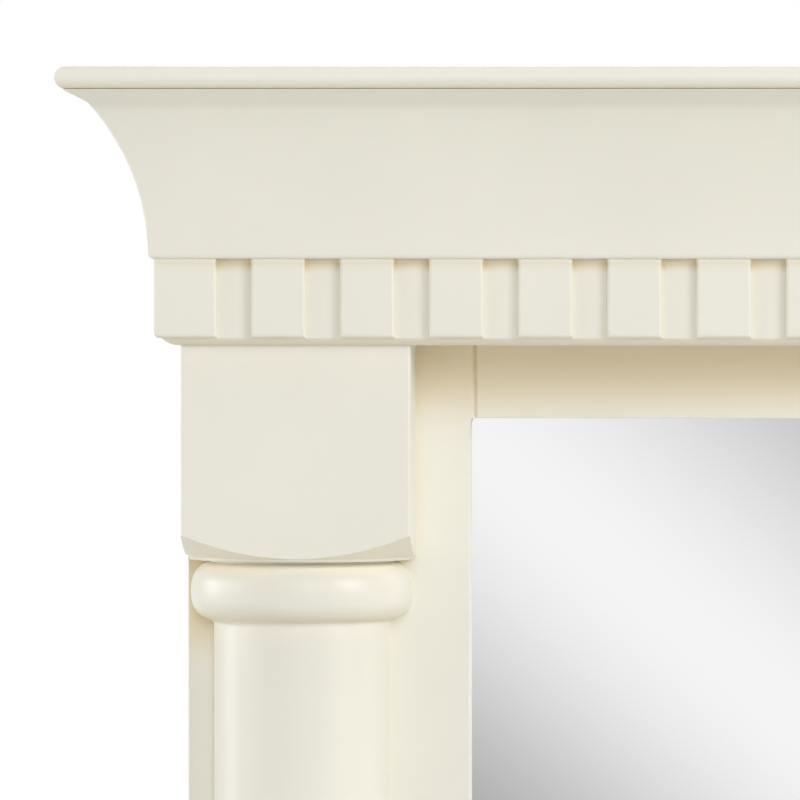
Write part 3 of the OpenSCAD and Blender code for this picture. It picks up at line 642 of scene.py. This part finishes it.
def satin(tree, here, recess, rear):
    """Roughness of the coat: duller in the recesses and on the wall side."""
    look = bpy.context.scene.mirror_paint
    sheen = noise(tree, here, scale=38.0)
    dull = spread(tree, sheen, 0.3, 0.7, to=(look.roughness - 0.04, look.roughness + 0.05))
    dull = maths(tree, "ADD", dull, product(tree, recess, 0.10))
    return maths(tree, "ADD", dull, product(tree, rear, 0.22))


def sprayed(tree, here):
    """The slight waves and the fine peel of a sprayed coat."""
    peel = noise(tree, here, scale=520.0, detail=2.0, roughness=0.45)
    wave = noise(tree, here, scale=60.0, detail=2.0)
    normal = bumped(tree, wave, strength=0.10, distance=0.0006)
    return bumped(tree, peel, strength=0.10, distance=0.0001, below=normal)


def paint_material(kind):
    """The ready paint of a kind, or a new one."""
    name = kind + "_cream_paint"
    return bpy.data.materials.get(name) or new_paint(kind, name)


def new_paint(kind, name):
    """Satin cream coat: sprayed texture, painted shade in the recesses, worn arrises with a painted
    highlight, and grain on the wall side.

    Kinds: open; sheltered, with painted shade under the cornice and beside the rings; overhung, with
    painted shade on faces that look down and a painted shadow between the dentils; turned and block, with
    painted shade on faces that look down and painted light in the grooves, block also with painted shade
    on its rim and painted light on its foot.
    """
    look = bpy.context.scene.mirror_paint
    material, tree, shader = new_material(name)
    place = add(tree, "ShaderNodeTexCoord")
    here = place.outputs["Object"]
    at = parts_of(tree, here)
    facing = parts_of(tree, place.outputs["Normal"])
    rounded = add(tree, "ShaderNodeBevel", {"Radius": look.arris_reach}, samples=3).outputs["Normal"]
    hidden = add(tree, "ShaderNodeAmbientOcclusion", {"Distance": look.recess_reach}, samples=4)
    openness = hidden.outputs["AO"]

    coat = cloudy_cream(tree, here, look.frame_colour if kind == "sheltered" else look.colour)
    # Painted shade on the frame under the cornice and on the strips beside the rings
    if kind == "sheltered":
        coat = painted_shelter_shade(tree, coat, at, facing)
    # Painted shade in the recesses, warmer and darker; on turned pieces and blocks painted light in the
    # grooves instead
    recess = spread(tree, openness, *OPENNESS[kind], to=(0.0, RECESS_COVER))
    painted_recess_tone = look.groove_light_colour if kind in ("turned", "block") else look.recess_shade_colour
    coat = mixed(tree, recess, coat, painted_recess_tone)
    # Painted shadow of the crown's foot at the tops of the dentil gaps
    if kind == "overhung":
        coat = painted_corner_shadow(tree, coat, at, openness)
    # Edge wear in patches, lighter, also a painted highlight along the arrises
    coat = worn_and_highlit_arrises(tree, coat, here, rounded)
    # Painted shade on the faces that look down
    if kind in ("overhung", "turned", "block"):
        looks_down = spread(tree, parts_of(tree, rounded)["Z"], *DOWNWARDS)
        below = look.shoulder_shade_colour if kind == "block" else look.underside_shade_colour
        coat = mixed(tree, looks_down, coat, below)
    # Painted shade on the block's rim and painted light on its foot
    if kind == "block":
        coat = painted_rim_shade_and_foot_light(tree, coat, at, facing)
    rear = wall_side(tree, at, facing)
    coat = thin_coat(tree, coat, rear)

    feed(tree, shader.inputs["Base Color"], coat)
    feed(tree, shader.inputs["Roughness"], satin(tree, here, recess, rear))
    feed(tree, shader.inputs["Normal"], sprayed(tree, here))
    shader.inputs["IOR"].default_value = 1.5
    return material


# Other finishes


def wood_material(name, along):
    """Planed pine, its rings drawn out along one axis: 0, 1 or 2."""
    look = bpy.context.scene.mirror_wood
    material, tree, shader = new_material(name)
    across = [1.0, 1.0, 1.0]
    across[along] = 0.06
    here = stretched(tree, tuple(across), location=(0.013, 0.021, 0.008))
    values = {"Scale": 95.0, "Distortion": 5.0, "Detail": 3.0, "Detail Scale": 14.0}
    rings = add(tree, "ShaderNodeTexWave", values, wave_type="RINGS", rings_direction="XYZ"[along],
                wave_profile="SAW")
    feed(tree, rings.inputs["Vector"], here)
    fibre = noise(tree, here, scale=900.0, detail=4.0, roughness=0.6)
    late = spread(tree, rings.outputs["Fac"], 0.35, 1.0)
    colour = mixed(tree, late, look.pine, look.pine_ring)
    dark = spread(tree, fibre, 0.4, 0.7, to=(0.0, 0.35))
    colour = mixed(tree, dark, colour, look.pine_fibre, "MULTIPLY")
    relief = maths(tree, "ADD", fibre, late)
    feed(tree, shader.inputs["Base Color"], colour)
    feed(tree, shader.inputs["Roughness"], spread(tree, fibre, 0.3, 0.7, to=(0.52, 0.7)))
    feed(tree, shader.inputs["Normal"], bumped(tree, relief, strength=0.25, distance=0.0001))
    return material


def hardboard_material():
    """Brown pressed board with a smooth mottled face and fine fibres."""
    look = bpy.context.scene.mirror_wood
    material, tree, shader = new_material("pressed_hardboard")
    here = stretched(tree)
    mottle = noise(tree, here, scale=30.0, detail=5.0, roughness=0.6)
    drawn = stretched(tree, (900.0, 300.0, 260.0), rotation=(0.0, 0.35, 0.0))
    fibre = noise(tree, drawn, scale=1.0, detail=4.0, roughness=0.7, distortion=1.5)
    speck = noise(tree, here, scale=1400.0, detail=2.0, roughness=0.6)
    patches = spread(tree, mottle, 0.35, 0.65, to=(0.0, 0.45))
    colour = mixed(tree, patches, look.board, look.board_mottle)
    colour = mixed(tree, spread(tree, fibre, 0.52, 0.68, to=(0.0, 0.7)), colour, look.board_fibre)
    colour = mixed(tree, spread(tree, speck, 0.62, 0.75, to=(0.0, 0.4)), colour, look.board_speck)
    feed(tree, shader.inputs["Base Color"], colour)
    feed(tree, shader.inputs["Roughness"], spread(tree, mottle, 0.3, 0.7, to=(0.42, 0.58)))
    feed(tree, shader.inputs["Normal"], bumped(tree, fibre, strength=0.2, distance=0.0001))
    return material


def glass_material():
    """Float glass silvered on its back: bright front, green ground edge, grey protective paint behind."""
    look = bpy.context.scene.mirror_glass_look
    material, tree, shader = new_material("silvered_glass")
    place = add(tree, "ShaderNodeTexCoord")
    here = place.outputs["Object"]
    facing = parts_of(tree, place.outputs["Normal"])
    front = spread(tree, facing["Y"], *GLASS_FRONT)
    back = spread(tree, facing["Y"], *GLASS_BACK)

    cloud = noise(tree, here, scale=5.0, detail=2.0)
    silver = mixed(tree, cloud, shaded(look.silver, 0.985), look.silver)
    spray = noise(tree, here, scale=420.0, roughness=0.6)
    backing = mixed(tree, spread(tree, spray, 0.3, 0.7), shaded(look.backing, 0.82), look.backing)
    ground = noise(tree, here, scale=700.0, detail=2.0)
    edge = mixed(tree, spread(tree, ground, 0.3, 0.7), shaded(look.edge, 0.8), look.edge)
    colour = mixed(tree, back, edge, backing)
    colour = mixed(tree, front, colour, silver)

    dull = spread(tree, spray, 0.3, 0.7, to=(0.42, 0.55))
    film = spread(tree, noise(tree, here, scale=11.0), 0.45, 0.8, to=(0.012, 0.022))
    feed(tree, shader.inputs["Base Color"], colour)
    feed(tree, shader.inputs["Metallic"], front)
    feed(tree, shader.inputs["Roughness"], mixed_numbers(tree, front, dull, film))
    feed(tree, shader.inputs["Coat Normal"], bumped(tree, spray, strength=0.02, distance=0.00002))
    shader.inputs["Coat Weight"].default_value = 0.25
    shader.inputs["Coat Roughness"].default_value = 0.03
    return material


def plate_material():
    """Bright zinc plate with faint rolling marks and dull spots."""
    look = bpy.context.scene.mirror_hardware
    material, tree, shader = new_material("bright_zinc")
    here = stretched(tree)
    cloud = noise(tree, here, scale=260.0, detail=4.0, roughness=0.6)
    marks = noise(tree, stretched(tree, (2600.0, 900.0, 160.0)), scale=1.0, roughness=0.6)
    colour = mixed(tree, spread(tree, cloud, 0.35, 0.7), shaded(look.plate, 0.86), look.plate)
    colour = mixed(tree, spread(tree, cloud, 0.55, 0.8, to=(0.0, 0.3)), colour, look.plate_spot)
    feed(tree, shader.inputs["Base Color"], colour)
    feed(tree, shader.inputs["Roughness"], spread(tree, marks, 0.3, 0.7, to=(0.24, 0.42)))
    feed(tree, shader.inputs["Normal"], bumped(tree, marks, strength=0.15, distance=0.00003))
    shader.inputs["Metallic"].default_value = 1.0
    return material


def rubber_material():
    """Black moulded rubber with a fine skin and a little dust."""
    look = bpy.context.scene.mirror_hardware
    material, tree, shader = new_material("bumper_rubber")
    here = stretched(tree)
    skin = noise(tree, here, scale=900.0, roughness=0.6)
    dust = noise(tree, here, scale=90.0, roughness=0.6)
    dusty = spread(tree, dust, 0.45, 0.75, to=(0.0, 0.5))
    feed(tree, shader.inputs["Base Color"], mixed(tree, dusty, look.rubber, shaded(look.rubber, 1.7)))
    feed(tree, shader.inputs["Roughness"], spread(tree, dust, 0.3, 0.7, to=(0.62, 0.8)))
    feed(tree, shader.inputs["Normal"], bumped(tree, skin, strength=0.3, distance=0.00005))
    return material


def foam_material():
    """Pale foam with closed cells."""
    look = bpy.context.scene.mirror_hardware
    material, tree, shader = new_material("closed_foam")
    cells = add(tree, "ShaderNodeTexVoronoi", {"Scale": 1100.0})
    feed(tree, cells.inputs["Vector"], stretched(tree))
    pores = spread(tree, cells.outputs["Distance"], 0.1, 0.6)
    feed(tree, shader.inputs["Base Color"], mixed(tree, pores, shaded(look.foam, 0.8), look.foam))
    feed(tree, shader.inputs["Roughness"], spread(tree, pores, 0.0, 1.0, to=(0.8, 0.95)))
    feed(tree, shader.inputs["Normal"], bumped(tree, pores, strength=0.4, distance=0.0002))
    return material


# Pieces


class MIRROR_OT_frame_wood(bpy.types.Operator):
    """Stiles and rails: softened arrises under satin paint."""
    bl_idname = "mirror.frame_wood"
    bl_label = "Stiles and rails"

    def execute(self, context):
        for node in FRAME_WOOD:
            painted(node, "sheltered", context.scene.mirror_paint.arris)
        return {"FINISHED"}


class MIRROR_OT_cornice_boards(bpy.types.Operator):
    """Frieze, returns, soffit and cap board of the cornice."""
    bl_idname = "mirror.cornice_boards"
    bl_label = "Cornice boards"

    def execute(self, context):
        radius = context.scene.mirror_paint.arris
        for node in CORNICE_BOARDS:
            painted(node, "open", radius)
        painted("cap_board", "overhung", radius, SHORTEST_MOULDING_ARRIS)
        return {"FINISHED"}


class MIRROR_OT_cornice_mouldings(bpy.types.Operator):
    """Cove crown and dentil moulding with their mitred returns."""
    bl_idname = "mirror.cornice_mouldings"
    bl_label = "Crown and dentils"

    def execute(self, context):
        for node in CROWN_MOULDINGS:
            painted(node, "open", context.scene.mirror_paint.arris, SHORTEST_MOULDING_ARRIS)
        for node in DENTIL_MOULDINGS:
            painted(node, "overhung")
        return {"FINISHED"}


class MIRROR_OT_posts(bpy.types.Operator):
    """Capital blocks, half columns and base blocks."""
    bl_idname = "mirror.posts"
    bl_label = "Posts"

    def execute(self, context):
        for node in POST_BLOCKS:
            painted(node, "block")
        for node in POST_SHAFTS:
            painted(node, "turned")
        return {"FINISHED"}


class MIRROR_OT_base(bpy.types.Operator):
    """Base board under the posts."""
    bl_idname = "mirror.base"
    bl_label = "Base board"

    def execute(self, context):
        painted("base_board", "open", context.scene.mirror_paint.arris)
        return {"FINISHED"}


class MIRROR_OT_glass(bpy.types.Operator):
    """Mirror glass with its ground edge, and the foam cushions behind it."""
    bl_idname = "mirror.glass"
    bl_label = "Mirror glass"

    def execute(self, context):
        piece = copied("mirror_glass", "silvered_mirror")
        soften_arrises(piece, context.scene.mirror_glass_look.arris, SHORTEST_BOARD_ARRIS)
        smooth(piece)
        stands_for(piece, "mirror_glass", glass_material())
        dress(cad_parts["glass_cushions"], foam_material())
        return {"FINISHED"}


class MIRROR_OT_back(bpy.types.Operator):
    """Hardboard back panel and the rubber bumpers that stand on the wall."""
    bl_idname = "mirror.back"
    bl_label = "Back panel and bumpers"

    def execute(self, context):
        dress(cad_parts["back_panel"], hardboard_material())
        dress(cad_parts["wall_bumpers"], rubber_material())
        return {"FINISHED"}


class MIRROR_OT_inner_wood(bpy.types.Operator):
    """Dowels, glue blocks and post pins in bare wood."""
    bl_idname = "mirror.inner_wood"
    bl_label = "Inner wood"

    def execute(self, context):
        across = wood_material("bare_wood_across", 0)
        dress(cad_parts["frame_dowels"], across)
        dress(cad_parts["glue_blocks"], across)
        dress(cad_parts["post_pins"], wood_material("bare_wood_upright", 2))
        return {"FINISHED"}


class MIRROR_OT_hardware(bpy.types.Operator):
    """Hanger straps, their rings and all screws in zinc plate."""
    bl_idname = "mirror.hardware"
    bl_label = "Hangers and screws"

    def execute(self, context):
        plate = plate_material()
        for side in ("left", "right"):
            dress(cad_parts[side + "_hanger_strap"], plate)
            dress(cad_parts[side + "_hanger_ring"], plate)
        for node in SCREWS:
            dress(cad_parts[node], plate)
        return {"FINISHED"}


# Stage


def floor_material(colour, reach):
    """Pale matt floor that fades into the white behind it."""
    material, tree, surface = blank_material("pale_floor")
    matt = add(tree, "ShaderNodeBsdfPrincipled", {"Roughness": 0.9, "Base Color": opaque(colour)})
    place = add(tree, "ShaderNodeTexCoord")
    away = add(tree, "ShaderNodeVectorMath", operation="LENGTH")
    feed(tree, away.inputs[0], place.outputs["Object"])
    near, far = (reach * share for share in FLOOR_FADE)
    clear = add(tree, "ShaderNodeBsdfTransparent")
    blend = add(tree, "ShaderNodeMixShader")
    feed(tree, blend.inputs["Fac"], spread(tree, away.outputs["Value"], near, far, eased=True))
    feed(tree, blend.inputs[1], matt.outputs["BSDF"])
    feed(tree, blend.inputs[2], clear.outputs["BSDF"])
    feed(tree, surface, blend.outputs["Shader"])
    return material


def card_material():
    """Reflector card: soft slanting bands of light, fading to white towards the card's edge."""
    material, tree, surface = blank_material("reflector_card")
    place = add(tree, "ShaderNodeTexCoord")
    slant = add(tree, "ShaderNodeVectorMath", {1: CARD_SLANT}, operation="DOT_PRODUCT")
    feed(tree, slant.inputs[0], place.outputs["Object"])
    ramp = add(tree, "ShaderNodeValToRGB")
    ramp.color_ramp.interpolation = "EASE"
    while len(ramp.color_ramp.elements) < len(CARD_GREYS):
        ramp.color_ramp.elements.new(0.5)
    for element, (position, grey) in zip(ramp.color_ramp.elements, CARD_GREYS):
        element.position = position
        element.color = opaque(tone(grey, grey, grey))
    feed(tree, ramp.inputs["Fac"], spread(tree, slant.outputs["Value"], *CARD_BANDS))
    away = add(tree, "ShaderNodeVectorMath", operation="LENGTH")
    feed(tree, away.inputs[0], place.outputs["Object"])
    fade = spread(tree, away.outputs["Value"], *CARD_FADE, eased=True)
    glow = add(tree, "ShaderNodeEmission")
    feed(tree, glow.inputs["Color"], mixed(tree, fade, ramp.outputs["Color"], WHITE))
    feed(tree, surface, glow.outputs["Emission"])
    return material


def lay_floor(look, lowest):
    """A floor right under the mirror's foot."""
    clear_selection()
    bpy.ops.mesh.primitive_plane_add(size=2 * look.floor_half, location=(0, 0, lowest - FLOOR_GAP))
    floor = bpy.context.object
    floor.name = "floor"
    dress(floor, floor_material(look.floor_colour, look.floor_half))
    floor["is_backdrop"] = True


def hang_card(look):
    """An upright card in front of the mirror, which only its reflections show."""
    clear_selection()
    bpy.ops.mesh.primitive_plane_add(size=CARD_SIZE, location=(0, 0, 0))
    card = bpy.context.object
    card.name = "reflector_card"
    for point in card.data.vertices:
        point.co = Vector((point.co.x, -look.card_distance, point.co.y))
    dress(card, card_material())
    card.visible_camera = False
    card.visible_diffuse = False
    card.visible_shadow = False
    card.visible_transmission = False
    card.visible_volume_scatter = False
    card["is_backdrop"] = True


def hang_lamps(middle):
    """Softboxes all round, each turned to the mirror's middle."""
    for name, azimuth, elevation, width, strength in LAMPS:
        turn, rise = math.radians(azimuth), math.radians(elevation)
        back = Vector((math.sin(turn) * math.cos(rise), -math.cos(turn) * math.cos(rise), math.sin(rise)))
        bpy.ops.object.light_add(type="AREA", location=middle + back * LAMP_DISTANCE)
        lamp = bpy.context.object
        lamp.name = name
        lamp.data.shape = "SQUARE"
        lamp.data.size = width
        lamp.data.energy = strength
        lamp.rotation_mode = "QUATERNION"
        lamp.rotation_quaternion = (-back).to_track_quat("-Z", "Y")
        lamp.visible_camera = False


def light_world(level):
    """White behind the mirror and in its reflections, and an even dome of light."""
    world = bpy.data.worlds.new("studio")
    bpy.context.scene.world = world
    world.use_nodes = True
    tree = world.node_tree
    tree.nodes.clear()
    path = add(tree, "ShaderNodeLightPath")
    seen = maths(tree, "MAXIMUM", path.outputs["Is Camera Ray"], path.outputs["Is Glossy Ray"])
    seen = maths(tree, "MAXIMUM", seen, path.outputs["Is Transmission Ray"])
    dome = add(tree, "ShaderNodeBackground", {"Color": opaque(WHITE), "Strength": level})
    white = add(tree, "ShaderNodeBackground", {"Color": opaque(WHITE), "Strength": 1.0})
    blend = add(tree, "ShaderNodeMixShader")
    output = add(tree, "ShaderNodeOutputWorld")
    feed(tree, blend.inputs["Fac"], seen)
    feed(tree, blend.inputs[1], dome.outputs["Background"])
    feed(tree, blend.inputs[2], white.outputs["Background"])
    feed(tree, output.inputs["Surface"], blend.outputs["Shader"])


def place_camera(look):
    """The photograph's camera."""
    bpy.ops.object.camera_add(location=look.camera_place)
    camera = bpy.context.object
    camera.name = "photograph_camera"
    camera.rotation_mode = "QUATERNION"
    camera.rotation_quaternion = Vector(look.camera_aim).to_track_quat("-Z", "Y")
    camera.data.lens = look.lens
    camera.data.sensor_width = SENSOR_WIDTH
    camera.data.clip_start = NEAREST_SEEN
    camera.data.clip_end = FARTHEST_SEEN
    bpy.context.scene.camera = camera


class MIRROR_OT_stage(bpy.types.Operator):
    """Pale floor, soft studio light, reflector card and the photograph's camera."""
    bl_idname = "mirror.stage"
    bl_label = "Stage, light and camera"

    def execute(self, context):
        look = context.scene.mirror_stage
        low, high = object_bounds()
        lay_floor(look, low.z)
        hang_card(look)
        hang_lamps((low + high) / 2)
        light_world(look.dome)
        place_camera(look)
        context.scene.view_settings.view_transform = "Standard"
        return {"FINISHED"}


class MIRROR_PT_build(bpy.types.Panel):
    """Lists the steps that finish the mirror."""
    bl_idname = "MIRROR_PT_build"
    bl_label = "Dentil cornice mirror"
    bl_space_type = "VIEW_3D"
    bl_region_type = "UI"
    bl_category = "Mirror"

    def draw(self, context):
        column = self.layout.column(align=True)
        for step in STEPS:
            column.operator(step.bl_idname)
        for name, settings in SETTINGS.items():
            box = self.layout.box()
            box.label(text=name.replace("_", " "))
            for setting in settings.__annotations__:
                box.prop(getattr(context.scene, name), setting)


STEPS = (
    MIRROR_OT_frame_wood,
    MIRROR_OT_cornice_boards,
    MIRROR_OT_cornice_mouldings,
    MIRROR_OT_posts,
    MIRROR_OT_base,
    MIRROR_OT_glass,
    MIRROR_OT_back,
    MIRROR_OT_inner_wood,
    MIRROR_OT_hardware,
    MIRROR_OT_stage,
)
SETTINGS = {
    "mirror_paint": PaintSettings,
    "mirror_wood": WoodSettings,
    "mirror_glass_look": GlassSettings,
    "mirror_hardware": HardwareSettings,
    "mirror_stage": StageSettings,
}


def register():
    for settings in SETTINGS.values():
        bpy.utils.register_class(settings)
    for name, settings in SETTINGS.items():
        setattr(bpy.types.Scene, name, bpy.props.PointerProperty(type=settings))
    for step in STEPS + (MIRROR_PT_build,):
        bpy.utils.register_class(step)


def unregister():
    for step in reversed(STEPS + (MIRROR_PT_build,)):
        bpy.utils.unregister_class(step)
    for name in SETTINGS:
        delattr(bpy.types.Scene, name)
    for settings in reversed(tuple(SETTINGS.values())):
        bpy.utils.unregister_class(settings)


def main():
    register()
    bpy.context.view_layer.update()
    bpy.ops.mirror.frame_wood()
    bpy.ops.mirror.cornice_boards()
    bpy.ops.mirror.cornice_mouldings()
    bpy.ops.mirror.posts()
    bpy.ops.mirror.base()
    bpy.ops.mirror.glass()
    bpy.ops.mirror.back()
    bpy.ops.mirror.inner_wood()
    bpy.ops.mirror.hardware()
    bpy.ops.mirror.stage()


if __name__ == "__main__":
    main()
